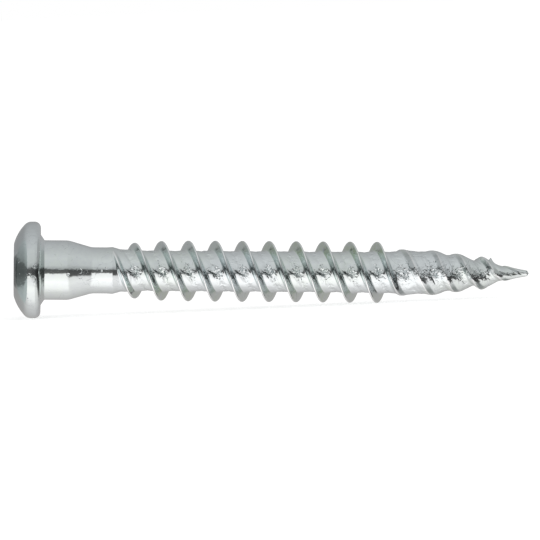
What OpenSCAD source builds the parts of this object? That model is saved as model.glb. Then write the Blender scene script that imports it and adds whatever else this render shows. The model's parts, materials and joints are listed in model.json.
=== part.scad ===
// Connector screw for fixing metal plates to timber.
// It has a low domed head with a six-lobed recess, a plain collar that fills the plate's hole,
// a thinner neck and a coarse thread with two starts that runs out into a sharp point.
// It lies on its side, on the rim of its head and on its last full crest.
// The origin is on the axis, at the bearing face under the head, and the point is towards +X.

/* [Head] */
// Largest diameter, across the rim
head_d = 7.92; // [7.4:0.02:9]
// Height from the bearing face to the flat on top
head_h = 2.2; // [2:0.02:3]
// Height of the crease between the rim and the dome
rim_h = 1.3; // [1:0.02:1.6]
// How far the crease lies inside the rim
crease_inset = 0.22; // [0.04:0.01:0.3]
// Length of the slope from the crease to the rim
crease_l = 0.22; // [0.05:0.01:0.4]
// How far the dome bulges beyond a straight cone
dome_bulge = 0.1; // [0.02:0.01:0.3]
// Rounding of the rim towards the dome
rim_upper_round = 0.65; // [0.1:0.05:0.8]
// Rounding of the rim towards the bearing face
rim_lower_round = 0.5; // [0.2:0.05:0.6]
// Width of the flat ring around the recess
flat_ring_w = 0.1; // [0.05:0.01:0.4]

/* [Drive recess] */
// Diameter across opposite lobes
recess_d = 3.95; // [3.3:0.01:4.4]
// How far the flutes reach in from the lobes
lobe_depth = 0.55; // [0.45:0.01:0.6]
// Radius of each lobe
lobe_round = 0.305; // [0.25:0.005:0.35]
// Depth at the axis
recess_depth = 1.9; // [1.4:0.05:2.1]
// Slope of the floor, in degrees
floor_slope = 20; // [5:1:25]
// Width of the bevel outside the lobes
mouth_bevel = 0.07; // [0.03:0.01:0.15]
// Slope of the bevel, in degrees
bevel_slope = 25; // [15:1:35]

/* [Collar and neck] */
// Diameter of the collar
collar_d = 4.88; // [4.6:0.02:5.2]
// Length from the bearing face to the end of the collar
collar_l = 2.28; // [1.6:0.02:5]
// Radial width of the cone between bearing face and collar
root_w = 0.42; // [0.1:0.02:0.5]
// Length of that cone along the axis
root_l = 0.36; // [0.1:0.02:0.6]
// Rounding between that cone and the collar
root_round = 0.25; // [0.05:0.05:0.5]
// Length of the taper from collar to neck
taper_l = 1.9; // [1:0.05:4]
// Rounding at both ends of the taper
taper_round = 1.2; // [0.2:0.1:2]
// Diameter of the neck
neck_d = 3.75; // [3.6:0.01:4.2]
// Length of the neck
neck_l = 1.7; // [1.2:0.05:6]
// Height of the lip at the end of the neck
lip_h = 0.04; // [0.01:0.01:0.1]
// Length of the lip's slope and of the shoulder after it
shoulder_l = 0.45; // [0.3:0.05:0.8]

/* [Thread] */
// Length from the bearing face to the tip
screw_l = 40; // [35:1:60]
// Outer diameter
thread_d = 5; // [4.6:0.05:6]
// Core diameter
core_d = 3.24; // [2.8:0.02:3.4]
// Distance between neighbouring crests
pitch = 2.21; // [1.8:0.01:2.6]
// Number of starts
thread_starts = 2; // [1:1:3]
// Width of a crest
crest_w = 0.12; // [0.06:0.01:0.3]
// Width of a ridge at its foot
ridge_w = 0.84; // [0.6:0.02:1.4]
// Shape of the flanks, where 1 is straight, less is hollow and more is full
flank_power = 1.05; // [0.6:0.05:1.3]
// Distance from the neck's end to the first crest, seen from the side
first_crest_l = 1.83; // [1.5:0.01:2.5]
// Length over which the ridges grow out of the neck
run_in_l = 1.7; // [0.8:0.05:3]
// How much thicker the core is where it leaves the neck, in radius
core_flare = 0.11; // [0.02:0.01:0.14]
// Length over which it thins down from there
core_flare_l = 2.2; // [0.8:0.1:3]
// How much thicker the core is under the low thread, in radius
core_swell = 0.11; // [0:0.01:0.2]
// Length before the end of the full thread over which it thickens
core_swell_l = 5.5; // [1:0.1:7]

/* [Point] */
// Length from the end of the full thread to the tip
low_thread_l = 12; // [10.5:0.1:16]
// Length over which the full ridges fall away
run_out_l = 1.4; // [0.8:0.1:3]
// Height of the low ridges behind the point
low_ridge_h = 0.15; // [0.05:0.01:0.3]
// Length of the tapering point
point_l = 8.2; // [6:0.1:8.5]
// Length of the slender end of the point
spike_l = 4.5; // [4:0.1:5.5]
// Diameter where the slender end begins
spike_d = 2.04; // [1.4:0.02:2.2]
// Height of the biting ridge on the slender end
bite_ridge_h = 0.5; // [0.1:0.02:0.6]
// Distance of the biting ridge from the tip
bite_ridge_l = 3.6; // [2.6:0.1:3.9]
// Height of the last ridge
last_ridge_h = 0.14; // [0.02:0.01:0.2]
// Distance of the last ridge from the tip
last_ridge_l = 1.4; // [0.8:0.1:2]
// Diameter of the blunt tip
tip_d = 0.24; // [0.1:0.01:0.4]
// Length of the blunt tip
tip_l = 0.12; // [0.08:0.01:0.3]

/* [Hidden] */
$fn = 96;
zinc = [0.74, 0.77, 0.77];

head_r = head_d / 2;
collar_r = collar_d / 2;
neck_r = neck_d / 2;
thread_r = thread_d / 2;
core_r = core_d / 2;

// Steps along each rounded corner, along the dome and along each arc of the recess
corner_steps = 5;
dome_steps = 8;
lobe_steps = 6;
// How far a cut runs out past the surface that it starts from
overshoot = 0.5;
// Columns of the threaded shank in one turn
columns = 36;
// Points of the shank that lie nearer than this to its hidden start are part of that start
merge_l = 0.1;

// Places along the axis, counted from the bearing face towards the tip
neck_start = collar_l + taper_l;
neck_end = neck_start + neck_l;
shank_start = neck_end - pitch / 2;
first_crest = neck_end + first_crest_l;
ridge_start = neck_end - shoulder_l;
full_end = screw_l - low_thread_l;
point_start = screw_l - point_l;
spike_start = screw_l - spike_l;

mouth_r = recess_d / 2 + mouth_bevel;
flat_r = mouth_r + flat_ring_w;
crease_r = head_r - crease_inset;

// Profiles of the turned part

function unit(v) = v / norm(v);

// Share of the way to its neighbour that a corner's arc may take up, where a rounded neighbour needs half
function room(neighbour) = neighbour[2] > 0 ? 0.5 : 0.9;

// Arc that rounds the corner b between a and c, as points
function corner_arc(a, b, c, radius, room_a, room_c) =
    let (
        towards_a = unit(a - b),
        towards_c = unit(c - b),
        half_angle = acos(towards_a * towards_c) / 2,
        reach = min(radius / tan(half_angle), norm(a - b) * room_a, norm(c - b) * room_c),
        arc_r = reach * tan(half_angle),
        centre = b + unit(towards_a + towards_c) * arc_r / sin(half_angle),
        from = b + towards_a * reach - centre,
        to = b + towards_c * reach - centre,
        sweep = 180 - 2 * half_angle,
        turn = sign(from[0] * to[1] - from[1] * to[0]) * sweep
    )
    [for (i = [0 : corner_steps])
        let (angle = turn * i / corner_steps)
        centre + [from[0] * cos(angle) - from[1] * sin(angle), from[0] * sin(angle) + from[1] * cos(angle)]];

// Outline through corners given as [radius from the axis, place along the axis, rounding]
function rounded(corners) =
    [for (i = [0 : len(corners) - 1])
        let (
            place = [corners[i][0], corners[i][1]],
            before = corners[max(i - 1, 0)],
            after = corners[min(i + 1, len(corners) - 1)]
        )
        each corners[i][2] > 0
            ? corner_arc([before[0], before[1]], place, [after[0], after[1]], corners[i][2],
                room(before), room(after))
            : [place]];

// Points of a curve from one place to another that bulges out between them
function bulged(from, to, bulge) =
    let (outwards = unit([to[1] - from[1], from[0] - to[0]]))
    [for (i = [1 : dome_steps - 1])
        let (t = i / dome_steps)
        from + (to - from) * t + outwards * 4 * bulge * t * (1 - t)];

dome = bulged([flat_r, -head_h], [crease_r, -rim_h], dome_bulge);

rim_and_neck = rounded([
    [crease_r, -rim_h, 0],
    [head_r, crease_l - rim_h, rim_upper_round],
    [head_r, 0, rim_lower_round],
    [collar_r + root_w, 0, 0],
    [collar_r, root_l, root_round],
    [collar_r, collar_l, taper_round],
    [neck_r, neck_start, taper_round],
    [neck_r, neck_end - shoulder_l, 0],
    [neck_r + lip_h, neck_end, lip_h],
    [core_r, neck_end + shoulder_l, 0]
]);

module turned_blank() {
    rotate_extrude()
        polygon(concat(
            [[0, -head_h], [flat_r, -head_h]],
            dome,
            rim_and_neck,
            [[0, neck_end + shoulder_l]]
        ));
}

// Six-lobed recess

lobe_centre = recess_d / 2 - lobe_round;
flute_d = recess_d - 2 * lobe_depth;
flute_round =
    (pow(flute_d, 2) / 4 + pow(lobe_centre, 2) - lobe_centre * flute_d * cos(30) - pow(lobe_round, 2))
    / (2 * lobe_round + 2 * lobe_centre * cos(30) - flute_d);
flute_centre = flute_d / 2 + flute_round;
// Half the angle that each lobe's arc and each flute's arc covers, where the two arcs touch
lobe_half = 180 - acos(
    (pow(lobe_centre, 2) + pow(lobe_round + flute_round, 2) - pow(flute_centre, 2))
    / (2 * lobe_centre * (lobe_round + flute_round)));
flute_half = lobe_half - 30;

function on_circle(centre, radius, angle) = centre + radius * [cos(angle), sin(angle)];

function lobe_arc(axis) =
    [for (i = [0 : lobe_steps])
        on_circle(lobe_centre * [cos(axis), sin(axis)], lobe_round,
            axis + lobe_half * (2 * i / lobe_steps - 1))];

// Inner points only, because the arc's ends belong to the lobes beside it
function flute_arc(axis) =
    [for (i = [1 : lobe_steps - 1])
        on_circle(flute_centre * [cos(axis), sin(axis)], flute_round,
            axis + 180 - flute_half * (2 * i / lobe_steps - 1))];

recess_outline = [for (i = [0 : 5]) each concat(lobe_arc(60 * i), flute_arc(60 * i + 30))];

module drive_recess() {
    wide_r = mouth_r + overshoot;
    intersection() {
        translate([0, 0, -head_h - overshoot])
            linear_extrude(recess_depth + overshoot)
                polygon(recess_outline);
        rotate_extrude()
            polygon([
                [0, -head_h - 2 * overshoot],
                [wide_r, -head_h - 2 * overshoot],
                [wide_r, -head_h + recess_depth - wide_r * tan(floor_slope)],
                [0, -head_h + recess_depth]
            ]);
    }
    rotate_extrude()
        polygon([
            [0, -head_h + mouth_r * tan(bevel_slope)],
            [0, -head_h - overshoot],
            [mouth_r + overshoot / tan(bevel_slope), -head_h - overshoot]
        ]);
}

// Threaded shank, as one skin that follows both ridges

lead = thread_starts * pitch;

// Smooth step that falls from 1 to 0 over a length
function fall(u, start, length) =
    let (t = min(max((u - start) / length, 0), 1))
    1 - t * t * (3 - 2 * t);

function core_radius(u) =
    lookup(u, [
        [neck_end, core_r + core_flare],
        [neck_end + core_flare_l, core_r],
        [full_end - core_swell_l, core_r],
        [full_end + run_out_l, core_r + core_swell],
        [point_start, core_r + core_swell],
        [spike_start, spike_d / 2],
        [screw_l, tip_d / 2]
    ]);

// Height of the ridges that only mark the shank in front of the full thread
function low_height(u) =
    lookup(u, [
        [point_start, low_ridge_h],
        [screw_l - bite_ridge_l, bite_ridge_h],
        [screw_l - last_ridge_l, last_ridge_h],
        [screw_l, 0]
    ]);

function full_height(u) = (thread_r - core_radius(u)) * (1 - exp(-max(u - ridge_start, 0) / run_in_l));

function ridge_height(u) =
    let (full = fall(u, full_end, run_out_l))
    full * full_height(u) + (1 - full) * low_height(u);

// How far down a flank a point lies, from 0 at the crest to 1 at the foot
function flank_place(s) = min(max((abs(s) - crest_w / 2) / (ridge_w / 2 - crest_w / 2), 0), 1);

// Section of a full ridge, and of a low one that falls slowly towards the tip
function full_section(s) = 1 - pow(flank_place(s), flank_power);
function low_section(s) =
    s < 0
    ? full_section(s)
    : 1 - max(s - crest_w / 2, 0) / (pitch - ridge_w / 2 - crest_w / 2);

function shank_radius(u, s) =
    let (full = fall(u, full_end, run_out_l))
    core_radius(u) + ridge_height(u) * (full * full_section(s) + (1 - full) * low_section(s));

// Places across one ridge and the valley after it, counted from its crest, with a knee in each flank
knee = crest_w / 2 + (ridge_w - crest_w) / 6;
section_places = [-ridge_w / 2, -knee, -crest_w / 2, crest_w / 2, knee, ridge_w / 2, pitch / 2];
rows_per_pitch = len(section_places);
rows_per_lead = rows_per_pitch * thread_starts;

// The first ridge is far enough back for every column to begin behind the shank's start
first_ridge = first_crest - pitch * ceil((first_crest - shank_start + lead) / pitch);
ridge_count = ceil((screw_l - first_ridge) / pitch) + 1;
rows = ridge_count * rows_per_pitch;

function place_of(column, row) =
    first_ridge + lead * column / columns + pitch * floor(row / rows_per_pitch)
    + section_places[row % rows_per_pitch];

start_ring = rows * columns;
start_centre = start_ring + columns;
tip_point = start_centre + 1;

// Number of the point at a column and row, where what lies past either end becomes that end
function point_at(column, row) =
    column == columns
    ? point_at(0, row + rows_per_lead)
    : let (u = place_of(column, row))
        u < shank_start + merge_l ? start_ring + column
        : u > screw_l - tip_l ? tip_point
        : row * columns + column;

function polar(radius, column, u) =
    [radius * cos(360 * column / columns), radius * sin(360 * column / columns), u];

shank_points = concat(
    [for (row = [0 : rows - 1])
        for (column = [0 : columns - 1])
            let (u = place_of(column, row))
            polar(shank_radius(u, section_places[row % rows_per_pitch]), column, u)],
    [for (column = [0 : columns - 1]) polar(core_r, column, shank_start)],
    [[0, 0, shank_start], [0, 0, screw_l]]
);

function is_whole(face) = face[0] != face[1] && face[1] != face[2] && face[2] != face[0];

shank_faces = concat(
    [for (row = [0 : rows - 2])
        for (column = [0 : columns - 1])
            let (
                a = point_at(column, row),
                b = point_at(column + 1, row),
                c = point_at(column + 1, row + 1),
                d = point_at(column, row + 1)
            )
            each [for (face = [[a, d, c], [a, c, b]]) if (is_whole(face)) face]],
    [for (column = [0 : columns - 1])
        [start_centre, start_ring + column, start_ring + (column + 1) % columns]]
);

module threaded_shank() {
    polyhedron(points = shank_points, faces = shank_faces, convexity = 10);
}

// Angle at which the screw lies on its rim and its last full crest
last_crest = first_crest + pitch * floor((full_end - first_crest) / pitch);
last_crest_r = core_radius(last_crest) + ridge_height(last_crest);
lie_angle = atan((head_r - last_crest_r) / (last_crest + rim_lower_round));

module screw() {
    color(zinc)
        rotate([0, 90 + lie_angle, 0])
            union() {
                difference() {
                    turned_blank();
                    drive_recess();
                }
                threaded_shank();
            }
}

screw();
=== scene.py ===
# Connector screw: its dressed skin and bright zinc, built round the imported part, on a white sheet.
import bpy
import json
import math
import numpy as np
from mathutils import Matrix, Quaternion, Vector, noise


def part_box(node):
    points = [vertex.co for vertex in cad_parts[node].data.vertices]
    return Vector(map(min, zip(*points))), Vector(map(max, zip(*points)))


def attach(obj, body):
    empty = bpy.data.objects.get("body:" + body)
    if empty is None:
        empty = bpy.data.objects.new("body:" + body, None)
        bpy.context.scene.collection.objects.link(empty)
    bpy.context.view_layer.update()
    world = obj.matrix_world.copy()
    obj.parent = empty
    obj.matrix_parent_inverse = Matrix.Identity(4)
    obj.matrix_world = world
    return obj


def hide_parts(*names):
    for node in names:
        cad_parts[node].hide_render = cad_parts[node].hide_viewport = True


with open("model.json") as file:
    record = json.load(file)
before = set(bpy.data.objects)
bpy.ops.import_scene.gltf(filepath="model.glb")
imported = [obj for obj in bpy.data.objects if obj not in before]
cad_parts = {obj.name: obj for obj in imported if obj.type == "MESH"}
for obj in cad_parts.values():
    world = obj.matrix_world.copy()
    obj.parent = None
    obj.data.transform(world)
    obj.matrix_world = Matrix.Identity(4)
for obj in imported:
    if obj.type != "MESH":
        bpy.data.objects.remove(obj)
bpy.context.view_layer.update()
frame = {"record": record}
print("frame loaded")

millimetre = 0.001

# The screw's own directions. A place on it is given by its distance from the bearing face towards the
# point, its angle from the side that the screw lies on, and its radius, all in millimetres and radians.
collarMount = next(mount for mount in frame["record"]["mounts"] if mount["name"] == "collar")
alongScrew = Vector(collarMount["axis"]).normalized()
farSide = Vector((0, 1, 0))
underSide = farSide.cross(alongScrew)

# Shape of the screw, in millimetres and degrees.
head = {
    "radius": 3.96,
    "height": 2.2,
    "rimHeight": 1.3,
    "creaseInset": 0.22,
    "creaseLength": 0.22,
    "domeBulge": 0.115,
    "domeSteps": 18,
    "upperRounding": 0.75,
    "lowerRounding": 0.5,
}

# six-lobed drive recess
recess = {
    "acrossLobes": 3.95,
    "lobeDepth": 0.55,
    "lobeRounding": 0.305,
    "depth": 1.9,
    "floorSlope": 20,
    "bevelWidth": 0.07,
    "bevelSlope": 25,
    "flatRing": 0.1,
    "wallRings": 7,
    "floorRings": 9,
}

collar = {
    "radius": 2.44,
    "length": 2.28,
    "rootWidth": 0.47,
    "rootLength": 0.31,
    "rootRounding": 0.1,
    "taperLength": 1.9,
    "taperRounding": 1.7,
    "neckRadius": 1.89,
    "neckLength": 1.7,
    "lipHeight": 0.03,
    "shoulderLength": 0.45,
    "shoulderFall": 0.75,
    "shoulderSink": 0.05,
    "shoulderBlend": 0.05,
}

thread = {
    "radius": 2.5,
    "coreRadius": 1.665,
    "pitch": 2.21,
    "starts": 2,
    "crestWidth": 0.12,
    "ridgeWidth": 0.62,
    "flankPower": 1.05,
    "footRounding": 0.16,
    "firstCrest": 1.83,
    "runIn": 1.7,
    "coreFlare": 0.09,
    "coreFlareLength": 2.2,
    "coreSwellLength": 5.5,
    "lowLength": 11.78,
    "runOut": 1.4,
}

point = {
    "tip": 40,
    "tipLength": 0.12,
    # how far each low ridge stands off the even pitch
    "shifts": [(27.6, 0.0), (29.8, -0.13), (32.0, 0.12), (34.2, -0.12), (36.4, -0.24), (38.7, -0.32),
               (40.0, -0.1)],
    # radius at each distance from the crest, for the low ridges from the last full one to the tip; most of
    # them were read off measurements of the photograph's outline and rounded, so the table is traced
    "places": [-0.5, -0.36, -0.2, -0.06, 0.0, 0.12, 0.3, 0.45, 0.64, 0.8, 0.95, 1.3, 1.71],
    "ridges": [
        (27.60, [1.70, 1.70, 1.70, 1.70, 1.71, 1.72, 1.72, 1.71, 1.71, 1.71, 1.72, 1.74, 1.75]),
        (29.81, [1.75, 1.83, 1.88, 1.90, 1.90, 1.89, 1.84, 1.81, 1.79, 1.78, 1.76, 1.74, 1.74]),
        (32.02, [1.74, 1.77, 1.81, 1.83, 1.83, 1.82, 1.79, 1.76, 1.70, 1.65, 1.58, 1.47, 1.46]),
        (34.23, [1.46, 1.52, 1.56, 1.57, 1.57, 1.57, 1.53, 1.48, 1.39, 1.31, 1.25, 1.07, 0.99]),
        (36.44, [0.98, 1.04, 1.22, 1.32, 1.35, 1.32, 1.23, 1.12, 1.03, 0.95, 0.86, 0.68, 0.58]),
        (38.65, [0.58, 0.54, 0.53, 0.55, 0.55, 0.53, 0.47, 0.42, 0.38, 0.34, 0.31, 0.22, 0.11]),
        (40.86, [0.18, 0.15, 0.11, 0.08, 0.06, 0.05, 0.05, 0.05, 0.05, 0.05, 0.05, 0.05, 0.05]),
    ],
    # at the two sides the low ridges have a thin lip and a step behind it, up to the rise of the next
    "lipHeight": 0.035,
    "lipWidth": 0.06,
    "stepDepth": 0.13,
    "stepStart": 0.05,
    "stepLength": 0.36,
    "riseStart": 1.3,
    "riseLength": 0.55,
    # lip and step fade out where the point gets thin
    "fadeRadius": 1.4,
    "fadeShare": 0.3,
    # one ridge has a second line behind its foot
    "lineDepth": 0.06,
    "linePlace": 0.93,
    "lineWidth": 0.05,
    "lineCrest": 31.0,
    "lineReach": 1.1,
    # burr left standing where the die bit into the point
    "burrHeight": 0.27,
    "burrPlace": 36.87,
    "burrFront": 0.07,
    "burrBack": 0.19,
    "burrSpread": 0.24,
}

# unevenness of the rolled valleys
relief = {
    "valleyHalfWidth": 0.62,
    "valleyFade": 0.12,
    "fullRadius": 1.2,  # where the screw is thinner the relief is lower
    "startGap": 0.3,
    "startLength": 0.6,
    # pressed seam: its share all round, what the sides and the grain add, and what the low zone takes away
    "seamDepth": 0.07,
    "seamShare": 0.6,
    "seamAtSides": 0.6,
    "seamByGrain": 0.5,
    "seamLossOnLow": 0.7,
    "seamHalfWidth": 0.62,
    "seamGrain": 1.1,
    "crumpleDepth": 0.045,
    "crumpleGrain": 0.42,
    "crumpleReach": 0.45,
    "crumpleOffset": 0.12,
    "waveDepth": 0.008,
    "waveGrain": 1.5,
}

skin = {
    "columns": 136,
    "profileStep": 0.14,
    "cornerSteps": 7,
    # rows of the mesh on each side of a crest
    "sectionPlaces": [0, 0.035, 0.07, 0.11, 0.16, 0.2, 0.24, 0.28, 0.32, 0.37, 0.43, 0.5, 0.58, 0.67, 0.76,
                      0.85, 0.93, 1.0, 1.05],
    "weld": 0.03,  # the thread's rows join the lip up to this far behind it
    "sharpAngle": 42,
}

neckStart = collar["length"] + collar["taperLength"]
neckEnd = neckStart + collar["neckLength"]
fullEnd = point["tip"] - thread["lowLength"]
mouthRadius = recess["acrossLobes"] / 2 + recess["bevelWidth"]
flatRadius = mouthRadius + recess["flatRing"]
creaseRadius = head["radius"] - head["creaseInset"]
turns = np.arange(skin["columns"]) * 2 * math.pi / skin["columns"]


def arcRound(before, corner, after, rounding, cuts, shares):
    # points of the arc that rounds a corner, shares says how far it may reach towards each neighbour
    towardsBefore = (before - corner) / np.linalg.norm(before - corner)
    towardsAfter = (after - corner) / np.linalg.norm(after - corner)
    halfAngle = math.acos(float(np.clip(towardsBefore @ towardsAfter, -1, 1))) / 2
    reach = min(
        rounding / math.tan(halfAngle),
        np.linalg.norm(before - corner) * shares[0],
        np.linalg.norm(after - corner) * shares[1],
    )
    arcRadius = reach * math.tan(halfAngle)
    middle = towardsBefore + towardsAfter
    centre = corner + middle / np.linalg.norm(middle) * arcRadius / math.sin(halfAngle)
    start = corner + towardsBefore * reach - centre
    end = corner + towardsAfter * reach - centre
    sweep = math.copysign(math.pi - 2 * halfAngle, start[0] * end[1] - start[1] * end[0])
    sideways = np.array([-start[1], start[0]])
    turned = [sweep * i / cuts for i in range(cuts + 1)]
    return [centre + (start * math.cos(a) + sideways * math.sin(a)) for a in turned]


def turnedOutline():
    # radius and place of the outline from the flat ring round the recess to the lip behind the thread
    start = np.array([flatRadius, -head["height"]])
    end = np.array([creaseRadius, -head["rimHeight"]])
    outwards = np.array([end[1] - start[1], start[0] - end[0]])
    outwards /= np.linalg.norm(outwards)
    shares = [i / head["domeSteps"] for i in range(head["domeSteps"])]
    outline = [start + (end - start) * t + outwards * 4 * head["domeBulge"] * t * (1 - t) for t in shares]
    corners = [
        (creaseRadius, -head["rimHeight"], 0),
        (head["radius"], head["creaseLength"] - head["rimHeight"], head["upperRounding"]),
        (head["radius"], 0, head["lowerRounding"]),
        (collar["radius"] + collar["rootWidth"], 0, 0),
        (collar["radius"], collar["rootLength"], collar["rootRounding"]),
        (collar["radius"], collar["length"], collar["taperRounding"]),
        (collar["neckRadius"], neckStart, collar["taperRounding"]),
        (collar["neckRadius"], neckEnd - collar["shoulderLength"], 0),
        (collar["neckRadius"] + collar["lipHeight"], neckEnd, 0),
    ]
    for i, (radius, place, rounding) in enumerate(corners):
        corner = np.array([radius, place])
        if rounding:
            before = np.array(corners[i - 1][:2])
            after = np.array(corners[i + 1][:2])
            shares = [0.5 if corners[j][2] else 1 for j in (i - 1, i + 1)]
            outline += arcRound(before, corner, after, rounding, skin["cornerSteps"], shares)
        else:
            outline.append(corner)
    # long straight stretches are cut into short ones
    dense = [outline[0]]
    for here, there in zip(outline, outline[1:]):
        cuts = max(1, math.ceil(np.linalg.norm(there - here) / skin["profileStep"]))
        dense += [here + (there - here) * i / cuts for i in range(1, cuts + 1)]
    return np.array(dense)


def lobedRadius(angles):
    # radius of the six-lobed outline at each angle
    lobeRounding = recess["lobeRounding"]
    lobeCentre = recess["acrossLobes"] / 2 - lobeRounding
    fluteAcross = recess["acrossLobes"] - 2 * recess["lobeDepth"]
    sixth = math.pi / 6
    fluteRounding = (
        fluteAcross**2 / 4 + lobeCentre**2 - lobeCentre * fluteAcross * math.cos(sixth) - lobeRounding**2
    ) / (2 * lobeRounding + 2 * lobeCentre * math.cos(sixth) - fluteAcross)
    fluteCentre = fluteAcross / 2 + fluteRounding
    turned = np.abs((angles + sixth) % (2 * sixth) - sixth)
    bulge = np.maximum(lobeRounding**2 - (lobeCentre * np.sin(turned)) ** 2, 0)
    lobe = lobeCentre * np.cos(turned) + np.sqrt(bulge)
    fromFlute = sixth - turned
    hollow = np.maximum(fluteRounding**2 - (fluteCentre * np.sin(fromFlute)) ** 2, 0)
    flute = fluteCentre * np.cos(fromFlute) - np.sqrt(hollow)
    touching = math.atan2(
        fluteCentre * math.sin(sixth) * lobeRounding,
        lobeCentre * fluteRounding + fluteCentre * math.cos(sixth) * lobeRounding,
    )
    return np.where(turned < touching, lobe, flute)


def recessRings():
    # rings from the middle of the recess floor up to the flat ring, as radius and place for each column
    lobed = lobedRadius(turns)
    floorTan = math.tan(math.radians(recess["floorSlope"]))
    bevelTan = math.tan(math.radians(recess["bevelSlope"]))
    floorPlace = -head["height"] + recess["depth"]
    foot = floorPlace - lobed * floorTan
    top = -head["height"] + (mouthRadius - lobed) * bevelTan
    rings = []
    for i in range(1, recess["floorRings"] + 1):
        inner = lobed * i / recess["floorRings"]
        rings.append((inner, floorPlace - inner * floorTan))
    for i in range(1, recess["wallRings"] + 1):
        rings.append((lobed, foot + (top - foot) * i / recess["wallRings"]))
    rings.append((np.full_like(lobed, mouthRadius), np.full_like(lobed, -head["height"])))
    return rings


def fall(place, start, length):
    # a soft drop from 1 to 0
    t = np.clip((place - start) / length, 0, 1)
    return 1 - t * t * (3 - 2 * t)


def along(place, table):
    # value at a place, from a table of places and values
    places, values = zip(*table)
    return np.interp(place, places, values)


def hump(place, middle, width):
    return np.exp(-(((place - middle) / width) ** 2))


def coreRadius(place):
    # the core flares towards the neck and swells towards the low zone
    core = thread["coreRadius"]
    swollen = point["ridges"][0][1][0]
    return along(place, [
        (neckEnd, core + thread["coreFlare"]),
        (neckEnd + thread["coreFlareLength"], core),
        (fullEnd - thread["coreSwellLength"], core),
        (fullEnd, swollen),
    ])


def lowRadius(crestPlace, behind, sideways):
    # radius along the point, between the two nearest of the written ridges
    places = [written[0] for written in point["ridges"]]
    radii = [np.interp(behind, point["places"], written[1]) for written in point["ridges"]]
    stage = np.interp(crestPlace, places, np.arange(len(places)))
    radius = sum(part * np.clip(1 - np.abs(stage - i), 0, 1) for i, part in enumerate(radii))
    near = np.where(behind < 0, behind + thread["pitch"], behind)
    stepStart = 1 - fall(near, point["stepStart"], point["stepLength"])
    stepped = stepStart * fall(near, point["riseStart"], point["riseLength"])
    line = hump(behind, point["linePlace"], point["lineWidth"])
    line = line * hump(crestPlace, point["lineCrest"], point["lineReach"])
    pressed = point["lipHeight"] * hump(behind, 0, point["lipWidth"])
    pressed = pressed - point["stepDepth"] * stepped - point["lineDepth"] * line
    return radius + pressed * sideways * np.clip(radius / point["fadeRadius"] - point["fadeShare"], 0, 1)


def burr(place, angle):
    # height of the burr on the top of the point
    width = np.where(place < point["burrPlace"], point["burrFront"], point["burrBack"])
    standing = point["burrHeight"] * hump(place, point["burrPlace"], width)
    return standing * hump(angle, math.pi, point["burrSpread"])


def shankRadius(place, crestPlace, offset, angle):
    # offset is the distance from the middle of the nearest crest, along the screw
    full = fall(place, fullEnd, thread["runOut"])
    ridgeStart = neckEnd - collar["shoulderLength"]
    grown = 1 - np.exp(-np.maximum(place - ridgeStart, 0) / thread["runIn"])
    height = (thread["radius"] - coreRadius(place)) * grown
    crest = thread["crestWidth"] / 2
    foot = thread["ridgeWidth"] / 2
    down = np.maximum((np.abs(offset) - crest) / (foot - crest), 0)
    sharp = 1 - down ** thread["flankPower"]
    rounding = thread["footRounding"]
    ridge = (sharp + np.sqrt(sharp**2 + rounding**2)) / (1 + math.sqrt(1 + rounding**2))
    last = offset < point["places"][0]
    behind = np.where(last, offset + thread["pitch"], offset)
    low = lowRadius(np.where(last, crestPlace - thread["pitch"], crestPlace), behind, np.sin(angle) ** 2)
    return full * (coreRadius(place) + height * ridge) + (1 - full) * low


def grain(spots, size, seed=0):
    # smooth noise from -1 to 1 at each spot, each seed reads another part of it
    shift = Vector((seed * 7.3, seed * 3.1, seed * 5.7))
    values = [noise.noise(Vector(spot) / size + shift) for spot in spots.reshape(-1, 3)]
    return np.array(values).reshape(spots.shape[:-1])


def valleyRelief(place, angle, radius, offset):
    # height of the pressed seam and of the crumpled metal round it, in the valleys
    spots = position(radius, place, angle) / millimetre
    middle = (offset % thread["pitch"]) - thread["pitch"] / 2
    valley = np.clip((relief["valleyHalfWidth"] - np.abs(middle)) / relief["valleyFade"], 0, 1)
    thin = np.clip(radius / relief["fullRadius"], 0, 1)
    low = 1 - fall(place, fullEnd, thread["runOut"])
    pressed = relief["seamShare"] + relief["seamAtSides"] * np.sin(angle) ** 2
    pressed = pressed + relief["seamByGrain"] * grain(spots, relief["seamGrain"])
    inSeam = np.clip(1 - np.abs(middle) / relief["seamHalfWidth"], 0, 1)
    seam = -relief["seamDepth"] * pressed * inSeam**2 * (1 - relief["seamLossOnLow"] * low)
    near = np.clip(1 - np.abs(middle - relief["crumpleOffset"]) / relief["crumpleReach"], 0, 1)
    coarse = grain(spots, relief["crumpleGrain"], 1)
    fine = grain(spots, relief["crumpleGrain"] / 2, 2) / 2
    crumple = relief["crumpleDepth"] * near * (coarse + fine)
    wave = relief["waveDepth"] * grain(spots, relief["waveGrain"], 3)
    return (seam + crumple + wave) * valley * thin, valley, near
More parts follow.
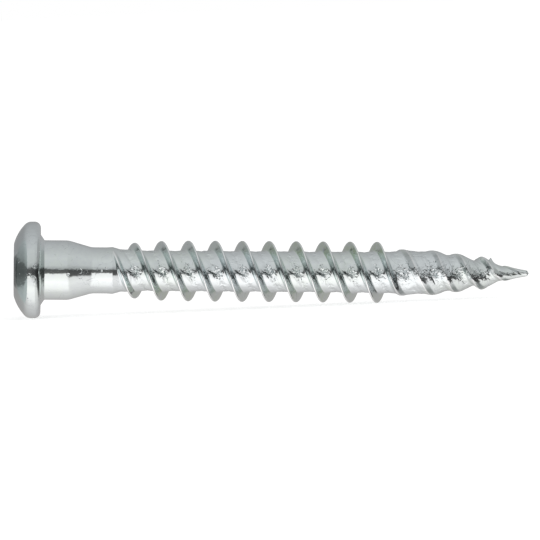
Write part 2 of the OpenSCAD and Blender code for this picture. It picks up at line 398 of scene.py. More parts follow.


# Where the metal is painted darker or olive, as tables of shares: partly its own dull metal and plating,
# partly painted shade and painted dark reflection at set angles round the screw. Across is the distance
# from a crest, turned the degrees from the top of the screw, and along the distance from the bearing face.
shading = {
    # bands of the ridges painted darker, partly dull metal and partly painted shade, and how strong each
    # is on the full ridges and on the low ones
    "bands": {
        "behindCrest": {
            "across": [(0.05, 0), (0.22, 1), (0.31, 1), (0.37, 0)],
            "turned": [(80, 0), (89, 0.2), (99, 0.4), (108, 1), (128, 0.4), (152, 0)],
            "full": 1,
            "low": 0,
        },
        "beforeCrest": {
            "across": [(-0.41, 0), (-0.31, 1), (0, 1), (0.12, 0)],
            "turned": [(63, 0), (69, 0.25), (74, 0.5), (79, 0.8), (85, 1), (91, 0.95), (100, 0)],
            "full": 1,
            "low": 0.6,
        },
        "behindLowCrest": {
            "across": [(0, 0), (0.1, 1), (0.38, 1), (0.48, 0)],
            "turned": [(98, 0), (116, 0.12), (126, 0.6), (138, 0.95), (154, 0.8), (168, 0.2)],
            "full": 0,
            "low": 1,
        },
        "upperFlank": {
            "across": [(0.04, 0), (0.1, 1), (0.27, 1), (0.33, 0)],
            "turned": [(38, 0), (52, 1), (78, 1), (88, 0)],
            "full": 0.5,
            "low": 0,
        },
        "beforeLowCrest": {
            "across": [(-0.46, 0), (-0.34, 1), (-0.04, 1), (0.04, 0)],
            "turned": [(12, 0), (35, 1), (78, 1), (92, 0)],
            "full": 0,
            "low": 0.55,
        },
    },
    # olive and darker tint on the ridges at set angles from the top, past the first few: partly the
    # plating's colour, partly painted shade
    "olive": [
        {"turned": [(35, 1), (60, 0)], "along": [(12.5, 0), (17.5, 1), (28, 1), (30, 0.3)]},
        {"turned": [(120, 0), (145, 0.7)], "along": [(6, 0.3), (10, 1), (28, 1), (30, 0.3)]},
    ],
    "flankMargin": 0.05,
    "flankFade": 0.08,
    "crestHalfWidth": 0.1,
    # the line where the dies met: its angle on the side, its turn at the middle of a valley, and its slant
    "sideLine": 267,
    "seamTurn": 12,
    "seamSlant": 21.8,
    "seamAcross": [(-0.68, 0), (-0.56, 1), (-0.05, 1), (0.12, 0)],
    "seamSpread": 0.35,
    "seamReach": 0.6,
    "seamLossOnLow": 0.4,
    # crumpled metal: share away from that line, what is added near it, degrees from it, width in degrees
    "crumpleInValleys": (0.25, 1.35, 2, 15),
    "crumpleOnLow": (0.1, 0.12, -2, 14),
    "crumpleEnd": 36.8,
    "crumpleEndLength": 1.2,
}


def ridgePaintedShade(offset, fromTop, low):
    # share of painted shade and dull metal on the ridges, the strongest band at each point
    shade = np.zeros_like(offset)
    for band in shading["bands"].values():
        share = along(offset, band["across"]) * along(fromTop, band["turned"])
        shade = np.maximum(shade, share * (band["full"] * (1 - low) + band["low"] * low))
    return shade


def oliveAndPaintedShade(place, offset, fromTop):
    # share of olive and darker tint on the ridges: partly the plating's colour, partly painted shade
    onRidge = thread["ridgeWidth"] / 2 + shading["flankMargin"] - np.abs(offset)
    flank = np.clip(onRidge / shading["flankFade"], 0, 1)
    parts = [along(fromTop, part["turned"]) * along(place, part["along"]) for part in shading["olive"]]
    return flank * sum(parts)


def nearLine(fromSide, values):
    # share of crumpled metal by the degrees from the line where the dies met
    plain, added, middle, width = values
    return plain + added * hump(fromSide, middle, width)


def shankMasks(place, angle, radius, offset, afterLip, crumpled):
    # one share for each point and each change of the metal, painted shade included, under the name that
    # the material reads
    low = 1 - fall(place, fullEnd, thread["runOut"])
    fromTop = np.degrees(np.abs(angle - math.pi))
    fromSide = (np.degrees(angle) - shading["sideLine"] + 90) % 180 - 90
    middle = (offset % thread["pitch"]) - thread["pitch"] / 2
    seamAway = np.radians(fromSide - shading["seamTurn"] - shading["seamSlant"] * middle) * radius
    seamed = along(middle, shading["seamAcross"]) * hump(seamAway, 0, shading["seamSpread"])
    inValleys = crumpled * nearLine(fromSide, shading["crumpleInValleys"])
    onLow = low * nearLine(fromSide, shading["crumpleOnLow"])
    beforeTip = fall(place, shading["crumpleEnd"], shading["crumpleEndLength"])
    return {
        "crumpled": np.maximum(inValleys, onLow) * afterLip * beforeTip,
        # painted shade on the ridges, with some dull metal
        "dullAndPaintedShade": ridgePaintedShade(offset, fromTop, low) * afterLip,
        "seamAway": np.clip(seamAway, -shading["seamReach"], shading["seamReach"]),
        "seamed": seamed * afterLip * (1 - shading["seamLossOnLow"] * low),
        # lighter crests: partly rubbed metal, partly a painted highlight
        "crest": np.clip(1 - np.abs(offset) / shading["crestHalfWidth"], 0, 1),
        # olive and darker tint: partly the plating's colour, partly painted shade
        "outer": oliveAndPaintedShade(place, offset, fromTop),
    }


def withShoulder(shank, place):
    # the rounded shoulder behind the lip, which the first ridge grows out of
    lipRadius = collar["neckRadius"] + collar["lipHeight"]
    lowest = thread["coreRadius"] + thread["coreFlare"] - collar["shoulderSink"]
    shoulder = np.interp(place, [neckEnd, neckEnd + collar["shoulderFall"]], [lipRadius, lowest])
    both = (shank + shoulder + np.sqrt((shank - shoulder) ** 2 + collar["shoulderBlend"] ** 2)) / 2
    return np.where(place < neckEnd + 2 * collar["shoulderFall"], both, shank)


def shankGrid():
    # radius, place and masks of every point of the helical grid, rows first, and the rows in one turn
    half = skin["sectionPlaces"]
    pitch = thread["pitch"]
    lead = thread["starts"] * pitch
    offsets = np.array([-s for s in reversed(half[1:])] + half + [pitch / 2])
    firstCrest = neckEnd + thread["firstCrest"]
    firstRidge = firstCrest - pitch * math.ceil((firstCrest - neckEnd + lead + pitch) / pitch)
    ridgeCount = math.ceil((point["tip"] - firstRidge) / pitch) + 1
    ridges = np.repeat(np.arange(ridgeCount), len(offsets))
    crestPlace = (firstRidge + pitch * ridges)[:, None] + lead * turns[None, :] / (2 * math.pi)
    offset = np.repeat(np.tile(offsets, ridgeCount)[:, None], skin["columns"], axis=1)
    place = crestPlace + offset
    place = place + along(place, point["shifts"])
    angle = turns[None, :] + 0 * place
    radius = withShoulder(shankRadius(place, crestPlace, offset, angle), place)
    height, valley, crumpled = valleyRelief(place, angle, radius, offset)
    afterLip = np.clip((place - neckEnd - relief["startGap"]) / relief["startLength"], 0, 1)
    masks = shankMasks(place, angle, radius, offset, afterLip, crumpled * valley)
    radius = radius + height * afterLip + burr(place, angle)
    return radius, place, masks, len(offsets) * thread["starts"]


# Where the head is painted darker, mostly as painted shade, as tables of shares by the distance from the
# bearing face. Angles are degrees from the top of the screw.
headPaintedShading = {
    # the domed face and the rim, painted darker as shade
    "pressed": [(-1.42, 0.3), (-1.28, 0.13), (-0.3, 0.13), (0, 0)],
    # painted shade at the sides of the lower rounding: the share, and the angles it runs between
    "met": [(-0.45, 0), (-0.36, 1), (-0.28, 1), (-0.13, 0.4), (-0.07, 0)],
    "metFrom": 78,
    "metFromFade": 4,
    "metTo": [(-0.42, 94), (-0.33, 104), (-0.25, 114), (-0.16, 116)],
    "metToFade": 6,
    # one spot on the rim
    "spotShare": 1.15,
    "spotPlace": -0.57,
    "spotLength": 0.11,
    "spotAngle": 93,
    "spotWidth": 7,
    # painted shade at the edge of the flat ring round the recess
    "ring": [(-2.05, 1.1), (-1.95, 0.8), (-1.9, 0)],
    "ringAngle": 90,
    "ringHalfWidth": 34,
    "ringFade": 6,
}


def headPaintedShade(place):
    # the pressed face and rim of the head are painted a little darker as shade, and more so at the sides
    # of the lower rounding
    shade = headPaintedShading
    fromTop = np.degrees(np.abs(turns - math.pi))
    metStart = np.clip((fromTop - shade["metFrom"]) / shade["metFromFade"], 0, 1)
    metEnd = np.clip((along(place, shade["metTo"]) - fromTop) / shade["metToFade"], 0, 1)
    met = along(place, shade["met"]) * metStart * metEnd
    spot = shade["spotShare"] * hump(place, shade["spotPlace"], shade["spotLength"])
    spot = spot * hump(fromTop, shade["spotAngle"], shade["spotWidth"])
    ringEnd = (shade["ringHalfWidth"] - np.abs(fromTop - shade["ringAngle"])) / shade["ringFade"]
    ring = along(place, shade["ring"]) * np.clip(ringEnd, 0, 1)
    return np.maximum(np.maximum(met, along(place, shade["pressed"])), np.maximum(spot, ring))


def position(radius, place, angle):
    # points in the shared frame, in metres
    radius, place, angle = np.broadcast_arrays(radius, place, angle)
    across = radius[..., None] * (
        np.cos(angle)[..., None] * np.array(underSide) + np.sin(angle)[..., None] * np.array(farSide))
    return (place[..., None] * np.array(alongScrew) + across) * millimetre


def buildSkin():
    points = []
    faces = []
    columns = skin["columns"]

    def addRing(radius, place):
        start = sum(len(part) for part in points)
        points.append(position(radius, place, turns))
        return start

    def joinRings(inner, outer):
        for i in range(columns):
            j = (i + 1) % columns
            faces.append((inner + i, inner + j, outer + j, outer + i))

    def addPoint(place):
        # one point on the axis
        points.append(position(np.array([0.0]), np.array([float(place)]), np.array([0.0])))

    floorMiddle = 0
    addPoint(-head["height"] + recess["depth"])
    rings = [addRing(radius, place) for radius, place in recessRings()]
    recessEnd = len(rings)
    outline = turnedOutline()
    rings += [addRing(np.full(columns, radius), np.full(columns, place)) for radius, place in outline]
    for i in range(columns):
        faces.append((floorMiddle, rings[0] + (i + 1) % columns, rings[0] + i))
    for inner, outer in zip(rings, rings[1:]):
        joinRings(inner, outer)
    recessFaces = columns * recessEnd
    lipRing = rings[-1]

    radius, place, masks, leadRows = shankGrid()
    rows = len(radius)
    start = sum(len(part) for part in points)
    numbers = start + np.arange(rows * columns).reshape(rows, columns)
    points.append(position(radius, place, turns[None, :]).reshape(-1, 3))
    tipEnd = start + rows * columns
    addPoint(point["tip"])
    numbers = np.where(place < neckEnd + skin["weld"], lipRing + np.arange(columns)[None, :], numbers)
    numbers = np.where(place > point["tip"] - point["tipLength"], tipEnd, numbers)
    wrapped = np.full((rows, 1), tipEnd)
    wrapped[: rows - leadRows, 0] = numbers[leadRows:, 0]
    numbers = np.concatenate([numbers, wrapped], axis=1)
    for row in range(rows - 1):
        for i in range(columns):
            corners = [numbers[row, i], numbers[row, i + 1], numbers[row + 1, i + 1], numbers[row + 1, i]]
            whole = [int(c) for c, d in zip(corners, corners[1:] + corners[:1]) if c != d]
            if len(whole) > 2:
                faces.append(tuple(whole))

    points = np.concatenate(points)
    used = sorted({corner for face in faces for corner in face})
    renumber = {old: new for new, old in enumerate(used)}
    mesh = bpy.data.meshes.new("zincScrew")
    mesh.from_pydata(points[used].tolist(), [], [tuple(renumber[c] for c in face) for face in faces])
    mesh.validate()
    mesh.polygons.foreach_set("use_smooth", [True] * len(mesh.polygons))
    mesh.polygons.foreach_set("material_index", [int(i < recessFaces) for i in range(len(mesh.polygons))])
    mesh.set_sharp_from_angle(angle=math.radians(skin["sharpAngle"]))
    for name, values in masks.items():
        whole = np.zeros(len(points))
        whole[start:tipEnd] = values.reshape(-1)
        # the head's painted shade goes into the same darkening mask
        if name == "dullAndPaintedShade":
            whole[1 + recessFaces:start] = np.concatenate([headPaintedShade(place) for radius, place in outline])
        mesh.attributes.new(name, "FLOAT", "POINT").data.foreach_set("value", whole[used])
    mesh.update()
    piece = bpy.data.objects.new("zincScrew", mesh)
    bpy.context.scene.collection.objects.link(piece)
    return piece


screwPiece = buildSkin()
triangles = sum(len(face.vertices) - 2 for face in screwPiece.data.polygons)
print("skin built:", len(screwPiece.data.vertices), "points,", triangles, "triangles")


def feed(links, socket, value):
    # a number or colour is set on the socket, an output is linked to it
    if isinstance(value, (int, float, tuple)):
        socket.default_value = value
    else:
        links.new(value, socket)


def addMaths(nodes, links, operation, *values):
    node = nodes.new("ShaderNodeMath")
    node.operation = operation
    for socket, value in zip(node.inputs, values):
        feed(links, socket, value)
    return node.outputs[0]


def startGroup(name, inputs, outputs):
    # a shader node group with named sockets, given as kind and starting value
    group = bpy.data.node_groups.new(name, "ShaderNodeTree")
    for label, kind, value in inputs:
        socket = group.interface.new_socket(name=label, in_out="INPUT", socket_type="NodeSocket" + kind)
        if value is not None:
            socket.default_value = value
    for label, kind in outputs:
        group.interface.new_socket(name=label, in_out="OUTPUT", socket_type="NodeSocket" + kind)
    start = group.nodes.new("NodeGroupInput")
    end = group.nodes.new("NodeGroupOutput")
    return group, start.outputs, end.inputs


def addNoise(nodes, links, where, scale, detail=2.0, roughness=0.5, distortion=0.0):
    node = nodes.new("ShaderNodeTexNoise")
    links.new(where, node.inputs["Vector"])
    feed(links, node.inputs["Scale"], scale)
    node.inputs["Detail"].default_value = detail
    node.inputs["Roughness"].default_value = roughness
    node.inputs["Distortion"].default_value = distortion
    return node.outputs["Fac"]


def addRange(nodes, links, value, low, high, toLow=0.0, toHigh=1.0):
    node = nodes.new("ShaderNodeMapRange")
    node.interpolation_type = "SMOOTHSTEP"
    names = ("Value", "From Min", "From Max", "To Min", "To Max")
    for name, given in zip(names, (value, low, high, toLow, toHigh)):
        feed(links, node.inputs[name], given)
    return node.outputs["Result"]


def addMix(nodes, links, factor, first, second):
    # a Mix node has its two colours at inputs 6 and 7, and the mixed colour at output 2
    node = nodes.new("ShaderNodeMix")
    node.data_type = "RGBA"
    for number, value in ((0, factor), (6, first), (7, second)):
        feed(links, node.inputs[number], value)
    return node.outputs[2]


def sink(nodes, links, mask, depth):
    # height of a mask that is pressed in by a depth
    return addMaths(nodes, links, "MULTIPLY", addMaths(nodes, links, "MULTIPLY", mask, depth), -1)


def makeCrumple():
    # crumpled metal, as a height in millimetres
    group, given, put = startGroup(
        "crumpledMetal",
        [("Vector", "Vector", None), ("Size", "Float", 0.3), ("Depth", "Float", 0.01),
         ("Mask", "Float", 1.0)],
        [("Height", "Float")],
    )
    nodes, links = group.nodes, group.links
    scale = addMaths(nodes, links, "DIVIDE", 1, given["Size"])
    folded = addNoise(nodes, links, given["Vector"], scale, detail=1.3, distortion=0.8)
    raised = addMaths(nodes, links, "SUBTRACT", folded, 0.5)
    deep = addMaths(nodes, links, "MULTIPLY", raised, given["Depth"])
    links.new(addMaths(nodes, links, "MULTIPLY", deep, given["Mask"]), put["Height"])
    return group


def makePitting():
    # small pits, as a height in millimetres
    group, given, put = startGroup(
        "smallPits",
        [("Vector", "Vector", None), ("Size", "Float", 0.5), ("Share", "Float", 0.3),
         ("Depth", "Float", 0.01)],
        [("Height", "Float")],
    )
    nodes, links = group.nodes, group.links
    flatBottom, widest = 0.05, 0.22  # shares of a cell
    cells = nodes.new("ShaderNodeTexVoronoi")
    cells.feature = "F1"
    links.new(given["Vector"], cells.inputs["Vector"])
    links.new(addMaths(nodes, links, "DIVIDE", 1, given["Size"]), cells.inputs["Scale"])
    chosen = nodes.new("ShaderNodeSeparateColor")
    links.new(cells.outputs["Color"], chosen.inputs[0])
    picked = addMaths(nodes, links, "LESS_THAN", chosen.outputs[0], given["Share"])
    width = addMaths(nodes, links, "MULTIPLY", chosen.outputs[1], widest)
    hole = addRange(nodes, links, cells.outputs["Distance"], flatBottom, width, 1.0, 0.0)
    mask = addMaths(nodes, links, "MULTIPLY", picked, hole)
    links.new(sink(nodes, links, mask, given["Depth"]), put["Height"])
    return group


def makeScratches():
    # thin curved scratches here and there, as a height in millimetres
    group, given, put = startGroup(
        "thinScratches",
        [("Vector", "Vector", None), ("Size", "Float", 2.0), ("Width", "Float", 0.02),
         ("Depth", "Float", 0.004)],
        [("Height", "Float")],
    )
    nodes, links = group.nodes, group.links
    bendReach = 0.9  # how far the lines bend, in millimetres
    bareEdge, markedEdge = 0.5, 0.6  # noise levels between which the scratched patches begin
    scale = addMaths(nodes, links, "DIVIDE", 1, given["Size"])
    bend = nodes.new("ShaderNodeTexNoise")
    links.new(given["Vector"], bend.inputs["Vector"])
    links.new(scale, bend.inputs["Scale"])
    bent = nodes.new("ShaderNodeVectorMath")
    bent.operation = "MULTIPLY_ADD"
    bent.inputs[1].default_value = (bendReach,) * 3
    links.new(bend.outputs["Color"], bent.inputs[0])
    links.new(given["Vector"], bent.inputs[2])
    cells = nodes.new("ShaderNodeTexVoronoi")
    cells.feature = "DISTANCE_TO_EDGE"
    links.new(bent.outputs[0], cells.inputs["Vector"])
    links.new(scale, cells.inputs["Scale"])
    line = addRange(nodes, links, cells.outputs["Distance"], 0.0, given["Width"], 1.0, 0.0)
    patches = addNoise(nodes, links, given["Vector"], scale, detail=1.0)
    patch = addRange(nodes, links, patches, bareEdge, markedEdge)
    mask = addMaths(nodes, links, "MULTIPLY", line, patch)
    links.new(sink(nodes, links, mask, given["Depth"]), put["Height"])
    return group


def makeMark():
    # one press mark, a broken ring round a spot, as a height in millimetres
    group, given, put = startGroup(
        "pressMark",
        [("Vector", "Vector", None), ("Centre", "Vector", None), ("Radius", "Float", 0.2),
         ("Width", "Float", 0.04), ("Depth", "Float", 0.02)],
        [("Height", "Float")],
    )
    nodes, links = group.nodes, group.links
    gapGrain = 2.2  # gaps in the ring to a millimetre
    gapEdge, ringEdge = 0.4, 0.52  # noise levels between which the ring begins
    apart = nodes.new("ShaderNodeVectorMath")
    apart.operation = "DISTANCE"
    links.new(given["Vector"], apart.inputs[0])
    links.new(given["Centre"], apart.inputs[1])
    fromRing = addMaths(nodes, links, "SUBTRACT", apart.outputs["Value"], given["Radius"])
    fromRing = addMaths(nodes, links, "ABSOLUTE", fromRing)
    ring = addRange(nodes, links, fromRing, 0.0, given["Width"], 1.0, 0.0)
    gaps = addNoise(nodes, links, given["Vector"], gapGrain, detail=1.0)
    mask = addMaths(nodes, links, "MULTIPLY", ring, addRange(nodes, links, gaps, gapEdge, ringEdge))
    links.new(sink(nodes, links, mask, given["Depth"]), put["Height"])
    return group


def makeTint():
    # plating that drifts between a cool and an olive shade, with fine clouding
    group, given, put = startGroup(
        "platingTint",
        [("Vector", "Vector", None), ("Cool", "Color", (1, 1, 1, 1)), ("Olive", "Color", (1, 1, 1, 1)),
         ("Dull", "Color", (1, 1, 1, 1)), ("Drift", "Float", 6.0), ("Clouds", "Float", 0.5),
         ("Olive share", "Float", 0.0)],
        [("Color", "Color"), ("Clouding", "Float")],
    )
    nodes, links = group.nodes, group.links
    coolEdge, oliveEdge = 0.35, 0.65  # noise levels of the coolest and the most olive places
    driftShare = 0.25  # what they take from the olive share and add to it
    clearEdge, cloudEdge = 0.35, 0.75  # noise levels between which the clouds begin
    driftScale = addMaths(nodes, links, "DIVIDE", 1, given["Drift"])
    slow = addNoise(nodes, links, given["Vector"], driftScale, detail=1.0)
    drifted = addRange(nodes, links, slow, coolEdge, oliveEdge, -driftShare, driftShare)
    share = addMaths(nodes, links, "ADD", drifted, given["Olive share"])
    shade = addMix(nodes, links, share, given["Cool"], given["Olive"])
    cloudScale = addMaths(nodes, links, "DIVIDE", 1, given["Clouds"])
    clouds = addNoise(nodes, links, given["Vector"], cloudScale, detail=3.0, roughness=0.6)
    clouds = addRange(nodes, links, clouds, clearEdge, cloudEdge)
    links.new(clouds, put["Clouding"])
    links.new(addMix(nodes, links, clouds, shade, given["Dull"]), put["Color"])
    return group


crumpledMetal = makeCrumple()
smallPits = makePitting()
thinScratches = makeScratches()
pressMark = makeMark()
platingTint = makeTint()

zinc = {
    "cool": (0.845, 0.905, 0.915, 1),
    # olive plating, whose darker tone on the ridges also serves as painted shade
    "olive": (0.69, 0.79, 0.64, 1),
    "dull": (0.79, 0.845, 0.855, 1),
    # lighter crest colour: partly rubbed metal, partly a painted highlight
    "rubbedAndHighlit": (0.97, 0.99, 0.99, 1),
    "drift": 7.0,
    "clouds": 0.4,
    "oliveAndShadeOnFlanks": 0.9,
    "roughness": (0.06, 0.14),
    "crumpleSize": 0.34,
    "crumpleDepth": 0.42,
    "skinSize": 0.45,
    "skinDepth": 0.009,
    "pitSize": 0.6,
    "pitShare": 0.4,
    "pitDepth": 0.025,
    "scratchSize": 3.2,
    "scratchWidth": 0.009,
    "scratchDepth": 0.006,
    # dark colour for dull metal, painted shade and painted dark reflection on the ridges, the head and the
    # seam
    "dullAndShadeColour": (0.17, 0.2, 0.2, 1),
    "dullAndShadeShare": 0.85,
    "seamWidth": 0.17,
    "seamDepth": 0.04,
    "seamRagged": 0.38,
    "seamGrain": 5.5,
    # press marks: distance from the bearing face, degrees above the side, radius of the surface, then the
    # radius, width and depth of the mark
    "marks": [
        (-0.41, 7, 3.9, 0.14, 0.05, 0.04),
        (-0.60, -8, 3.96, 0.24, 0.05, 0.03),
        (-0.95, -4, 3.96, 0.18, 0.04, 0.03),
        (2.28, -6, 2.4, 0.08, 0.07, 0.03),
        (3.20, 1, 2.2, 0.22, 0.04, 0.02),
        (3.28, -13, 2.15, 0.10, 0.04, 0.03),
        (6.40, 9, 1.85, 0.0, 0.16, 0.05),
        (29.6, 55, 1.8, 0.90, 0.06, 0.02),
        (29.5, -2, 1.75, 0.33, 0.07, 0.05),
        (30.0, 8, 1.75, 0.12, 0.07, 0.05),
        (31.0, 27, 1.8, 0.90, 0.06, 0.03),
        (32.25, 35, 1.75, 0.10, 0.08, 0.07),
        (34.3, 48, 1.6, 0.82, 0.06, 0.03),
        (34.8, 14, 1.5, 0.15, 0.07, 0.05),
        (37.3, 20, 0.7, 0.12, 0.06, 0.05),
    ],
}

recessZinc = {
    "colour": (0.72, 0.76, 0.77, 1),
    "shade": (0.5, 0.53, 0.54, 1),
    "roughness": (0.22, 0.4),
    "drift": 3.0,
    "clouds": 0.4,
    "markSize": 0.22,
    "markDepth": 0.03,
}


def placeGroup(nodes, links, group, where, **values):
    node = nodes.new("ShaderNodeGroup")
    node.node_tree = group
    links.new(where, node.inputs["Vector"])
    for name, value in values.items():
        feed(links, node.inputs[name.replace("_", " ")], value)
    return node.outputs


def startMaterial(name):
    # a material with its coordinates in millimetres
    material = bpy.data.materials.new(name)
    material.use_nodes = True
    nodes, links = material.node_tree.nodes, material.node_tree.links
    coordinates = nodes.new("ShaderNodeTexCoord")
    inMillimetres = nodes.new("ShaderNodeVectorMath")
    inMillimetres.operation = "SCALE"
    inMillimetres.inputs["Scale"].default_value = 1 / millimetre
    links.new(coordinates.outputs["Object"], inMillimetres.inputs[0])
    return material, nodes, links, inMillimetres.outputs[0]


def addBump(nodes, links, shader, height):
    # heights are in millimetres
    raised = nodes.new("ShaderNodeBump")
    raised.inputs["Distance"].default_value = millimetre
    links.new(height, raised.inputs["Height"])
    links.new(raised.outputs["Normal"], shader.inputs["Normal"])


def makeZinc():
    material, nodes, links, where = startMaterial("brightZinc")
    shader = nodes["Principled BSDF"]
    masks = {}
    for name in ("crumpled", "crest", "outer", "dullAndPaintedShade", "seamAway", "seamed"):
        mask = nodes.new("ShaderNodeAttribute")
        mask.attribute_name = name
        masks[name] = mask.outputs["Fac"]

    def maths(operation, *values):
        return addMaths(nodes, links, operation, *values)

    def effect(group, **values):
        return placeGroup(nodes, links, group, where, **values)

    # the olive share on the ridges is partly the plating's colour, partly painted shade
    oliveShare = maths("MULTIPLY", masks["outer"], zinc["oliveAndShadeOnFlanks"])
    tint = effect(platingTint, Cool=zinc["cool"], Olive=zinc["olive"], Dull=zinc["dull"],
                  Drift=zinc["drift"], Clouds=zinc["clouds"], Olive_share=oliveShare)
    pits = effect(smallPits, Size=zinc["pitSize"], Share=zinc["pitShare"], Depth=zinc["pitDepth"])
    scratches = effect(thinScratches, Size=zinc["scratchSize"], Width=zinc["scratchWidth"],
                       Depth=zinc["scratchDepth"])
    uneven = effect(crumpledMetal, Size=zinc["skinSize"], Depth=zinc["skinDepth"])
    crumple = effect(crumpledMetal, Size=zinc["crumpleSize"], Depth=zinc["crumpleDepth"],
                     Mask=masks["crumpled"])
    height = maths("ADD", uneven["Height"], crumple["Height"])
    height = maths("ADD", height, maths("ADD", pits["Height"], scratches["Height"]))
    for distance, above, radius, ringRadius, width, depth in zinc["marks"]:
        centre = position(radius, distance, math.radians(270 - above)) / millimetre
        mark = effect(pressMark, Centre=tuple(centre.tolist()), Radius=ringRadius, Width=width,
                      Depth=depth)
        height = maths("ADD", height, mark["Height"])
    # the seam where the dies met is a ragged groove and dark line; its dark is partly the seam's own and
    # partly a painted dark reflection
    ragged = addNoise(nodes, links, where, zinc["seamGrain"])
    ragged = maths("MULTIPLY_ADD", ragged, zinc["seamRagged"], -zinc["seamRagged"] / 2)
    fromSeam = maths("ABSOLUTE", maths("ADD", masks["seamAway"], ragged))
    seam = addRange(nodes, links, fromSeam, zinc["seamWidth"] / 2, zinc["seamWidth"], 1.0, 0.0)
    seam = maths("MULTIPLY", seam, masks["seamed"])
    addBump(nodes, links, shader, maths("MULTIPLY_ADD", seam, -zinc["seamDepth"], height))
    # crests are painted lighter: partly rubbed metal, partly a painted highlight
    colour = addMix(nodes, links, masks["crest"], tint["Color"], zinc["rubbedAndHighlit"])
    # dull metal, painted shade and the seam's dark line darken the colour
    dullAndPaintedShade = maths("MULTIPLY", maths("MAXIMUM", masks["dullAndPaintedShade"], seam), zinc["dullAndShadeShare"])
    links.new(addMix(nodes, links, dullAndPaintedShade, colour, zinc["dullAndShadeColour"]), shader.inputs["Base Color"])
    shader.inputs["Metallic"].default_value = 1
    rough = addRange(nodes, links, tint["Clouding"], 0.0, 1.0, *zinc["roughness"])
    links.new(rough, shader.inputs["Roughness"])
    return material


def makeRecessZinc():
    # the drive recess is formed deep in the head, where the plating is thin and dull
    material, nodes, links, where = startMaterial("dullRecessZinc")
    shader = nodes["Principled BSDF"]
    tint = placeGroup(nodes, links, platingTint, where, Cool=recessZinc["colour"],
                      Olive=recessZinc["colour"], Dull=recessZinc["shade"], Drift=recessZinc["drift"],
                      Clouds=recessZinc["clouds"])
    marks = placeGroup(nodes, links, crumpledMetal, where, Size=recessZinc["markSize"],
                       Depth=recessZinc["markDepth"])
    addBump(nodes, links, shader, marks["Height"])
    links.new(tint["Color"], shader.inputs["Base Color"])
    shader.inputs["Metallic"].default_value = 1
    rough = addRange(nodes, links, tint["Clouding"], 0.0, 1.0, *recessZinc["roughness"])
    links.new(rough, shader.inputs["Roughness"])
    return material


screwPiece.data.materials.append(makeZinc())
screwPiece.data.materials.append(makeRecessZinc())
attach(screwPiece, "root")
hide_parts("screw")
print("zinc laid on")

# white sheet
sheet = {
    "halfWidth": 0.6,
    "colour": (0.8, 0.8, 0.8, 1),
    "shownWhite": 0.62,
}


def makeSheet():
    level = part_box("screw")[0].z
    half = sheet["halfWidth"]
    mesh = bpy.data.meshes.new("whiteSheet")
    corners = [(-half, -half, level), (half, -half, level), (half, half, level), (-half, half, level)]
    mesh.from_pydata(corners, [], [(0, 1, 2, 3)])
    floor = bpy.data.objects.new("whiteSheet", mesh)
    bpy.context.scene.collection.objects.link(floor)
    material = bpy.data.materials.new("sheetWhite")
    material.use_nodes = True
    nodes, links = material.node_tree.nodes, material.node_tree.links
    shader = nodes["Principled BSDF"]
    shader.inputs["Base Color"].default_value = sheet["colour"]
    shader.inputs["Roughness"].default_value = 1
    shader.inputs["Specular IOR Level"].default_value = 0
    shader.inputs["Emission Color"].default_value = (1, 1, 1, 1)
    path = nodes.new("ShaderNodeLightPath")
    shown = nodes.new("ShaderNodeMath")
    shown.operation = "MULTIPLY"
    shown.inputs[1].default_value = sheet["shownWhite"]
    links.new(path.outputs["Is Camera Ray"], shown.inputs[0])
    links.new(shown.outputs[0], shader.inputs["Emission Strength"])
    mesh.materials.append(material)
    floor.visible_glossy = False


makeSheet()
print("sheet laid")

# Soft studio. Each list gives the brightness that the metal shows from round the screw, by an angle that
# runs from behind the screw over the sheet below, the front at 0 and the top back to behind it. Past the
# two ends the angle is counted in the same way from the direction of that end. The levels were fitted to
# greys measured in the photograph.
studio = {
    "plainLevel": 0.5,
    "lampSize": 0.5,
    "lampPower": 0.6,
    "lampPlace": (0.1, -0.25, 0.7),
    "squareOn": [(-180, 0.36), (-140, 0.52), (-95, 0.74), (-72, 1.06), (-45, 1.2), (-28, 1.06),
                 (-12.5, 0.96), (-8.8, 0.13), (5.5, 0.1), (8.8, 0.43), (20, 0.62), (50, 0.67), (90, 0.55),
                 (135, 0.44), (165, 0.36), (180, 0.36)],
    "slanting": [(-180, 0.41), (-150, 0.43), (-135, 0.5), (-90, 0.76), (-50, 0.91), (-30, 0.8), (-22, 0.1),
                 (3, 0.07), (8, 0.38), (25, 0.58), (60, 0.62), (120, 0.48), (180, 0.41)],
    "pointEnd": [(-180, 0.4), (-90, 0.6), (-45, 0.6), (-37, 0.5), (-33.5, 0.37), (-30.5, 0.26),
                 (-27, 0.115), (-21.7, 0.075), (-15.5, 0.06), (-10.5, 0.05), (-2.6, 0.048), (0, 0.055),
                 (2.6, 0.085), (4, 0.13), (6, 0.22), (8.6, 0.34), (12, 0.36), (21, 0.39), (90, 0.42),
                 (180, 0.4)],
    "headEnd": [(-180, 0.4), (-90, 0.5), (-35, 0.54), (-24, 0.54), (-19, 0.5), (-15.2, 0.42), (-13, 0.19),
                (-8.7, 0.19), (-5, 0.135), (-1, 0.11), (3, 0.12), (9.2, 0.135), (11.2, 0.275), (15, 0.33),
                (20, 0.365), (28, 0.42), (45, 0.52), (90, 0.5), (180, 0.4)],
    "belowTint": (1.04, 1.0, 1.0),
    "aboveTint": (1.0, 1.0, 1.01),
    "headEndTint": (0.94, 1.0, 1.0),
    # where the lists for a slant and for the two ends take over, by how far the direction leans
    "slantFrom": 0.12,
    "slantFull": 0.34,
    "endFrom": 0.7,
    "endFull": 0.8,
    "behindFrom": -0.66,
    "behindFull": -0.5,
    "headEndFrom": 0.69,
    "headEndFull": 0.75,
}


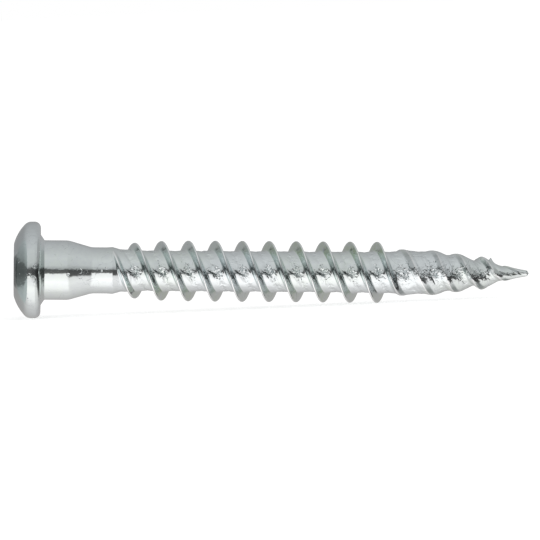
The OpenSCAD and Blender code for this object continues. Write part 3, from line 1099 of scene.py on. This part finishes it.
def makeRamp(nodes, name):
    ramp = nodes.new("ShaderNodeValToRGB")
    elements = ramp.color_ramp.elements
    while len(elements) > 1:
        elements.remove(elements[-1])
    for i, (angle, level) in enumerate(studio[name]):
        element = elements[0] if i == 0 else elements.new(1)
        element.position = angle / 360 + 0.5
        tint = studio["belowTint"] if angle < 0 else studio["aboveTint"]
        tint = studio["headEndTint"] if name == "headEnd" else tint
        element.color = tuple(level * share for share in tint) + (1,)
    return ramp


def makeStudio():
    world = bpy.data.worlds.new("softStudio")
    bpy.context.scene.world = world
    world.use_nodes = True
    world.cycles.sampling_method = "NONE"
    nodes, links = world.node_tree.nodes, world.node_tree.links
    direction = nodes.new("ShaderNodeTexCoord")
    parts = nodes.new("ShaderNodeSeparateXYZ")
    links.new(direction.outputs["Generated"], parts.inputs[0])
    towardsPoint = parts.outputs["X"]
    towardsHead = addMaths(nodes, links, "MULTIPLY", towardsPoint, -1)
    frontwards = addMaths(nodes, links, "MULTIPLY", parts.outputs["Y"], -1)
    shown = {}
    for name in ("squareOn", "slanting", "pointEnd", "headEnd"):
        forwards = {"pointEnd": towardsPoint, "headEnd": towardsHead}.get(name, frontwards)
        angle = addMaths(nodes, links, "ARCTAN2", parts.outputs["Z"], forwards)
        ramp = makeRamp(nodes, name)
        links.new(addMaths(nodes, links, "MULTIPLY_ADD", angle, 0.5 / math.pi, 0.5), ramp.inputs[0])
        shown[name] = ramp.outputs["Color"]
    slant = addRange(nodes, links, towardsPoint, studio["slantFrom"], studio["slantFull"])
    pointEnd = addRange(nodes, links, towardsPoint, studio["endFrom"], studio["endFull"])
    notBehind = addRange(nodes, links, frontwards, studio["behindFrom"], studio["behindFull"])
    pointEnd = addMaths(nodes, links, "MULTIPLY", pointEnd, notBehind)
    headEnd = addRange(nodes, links, towardsHead, studio["headEndFrom"], studio["headEndFull"])
    mirrored = addMix(nodes, links, slant, shown["squareOn"], shown["slanting"])
    mirrored = addMix(nodes, links, pointEnd, mirrored, shown["pointEnd"])
    mirrored = addMix(nodes, links, headEnd, mirrored, shown["headEnd"])
    path = nodes.new("ShaderNodeLightPath")
    glossy, through = path.outputs["Is Glossy Ray"], path.outputs["Is Transmission Ray"]
    sharpRay = addMaths(nodes, links, "MAXIMUM", glossy, through)
    plain = (studio["plainLevel"],) * 3 + (1,)
    lit = addMix(nodes, links, sharpRay, plain, mirrored)
    background = nodes["Background"]
    background.inputs["Strength"].default_value = 1
    white = (1, 1, 1, 1)
    links.new(addMix(nodes, links, path.outputs["Is Camera Ray"], lit, white), background.inputs["Color"])

    lamp = bpy.data.lights.new("softLamp", "AREA")
    lamp.shape = "DISK"
    lamp.size = studio["lampSize"]
    lamp.energy = studio["lampPower"]
    lampObject = bpy.data.objects.new("softLamp", lamp)
    lampObject.location = studio["lampPlace"]
    lampObject.rotation_euler = Vector(lampObject.location).to_track_quat("Z", "Y").to_euler()
    lampObject.visible_glossy = False
    bpy.context.scene.collection.objects.link(lampObject)


makeStudio()
print("studio lit")

# camera, with lengths in millimetres and angles in degrees
view = {
    "elevation": 3,
    "lens": 1500,
    "sensor": 36,
    "width": 44.26,
    "middle": 18.8,
    "raise": 0.13,
    "shownSlope": 0.41,  # slope of the screw in the picture
    "clipRange": 10,
}


def makeCamera():
    camera = bpy.data.cameras.new("sideCamera")
    camera.sensor_width = view["sensor"]
    camera.lens = view["lens"]
    holder = bpy.data.objects.new("sideCamera", camera)
    bpy.context.scene.collection.objects.link(holder)
    lift = math.radians(view["elevation"])
    back = Vector((0, -math.cos(lift), math.sin(lift)))
    lieAngle = math.atan2(-alongScrew.z, alongScrew.x)
    roll = math.radians(view["shownSlope"]) - lieAngle
    facing = back.to_track_quat("Z", "Y") @ Quaternion((0, 0, 1), roll)
    distance = view["width"] * view["lens"] / view["sensor"]
    target = alongScrew * view["middle"] + facing @ Vector((0, view["raise"], 0))
    holder.location = (target + back * distance) * millimetre
    holder.rotation_mode = "QUATERNION"
    holder.rotation_quaternion = facing
    camera.clip_start = distance * millimetre / view["clipRange"]
    camera.clip_end = distance * millimetre * view["clipRange"]
    bpy.context.scene.camera = holder


makeCamera()
bpy.context.scene.view_settings.view_transform = "Standard"
print("camera set")
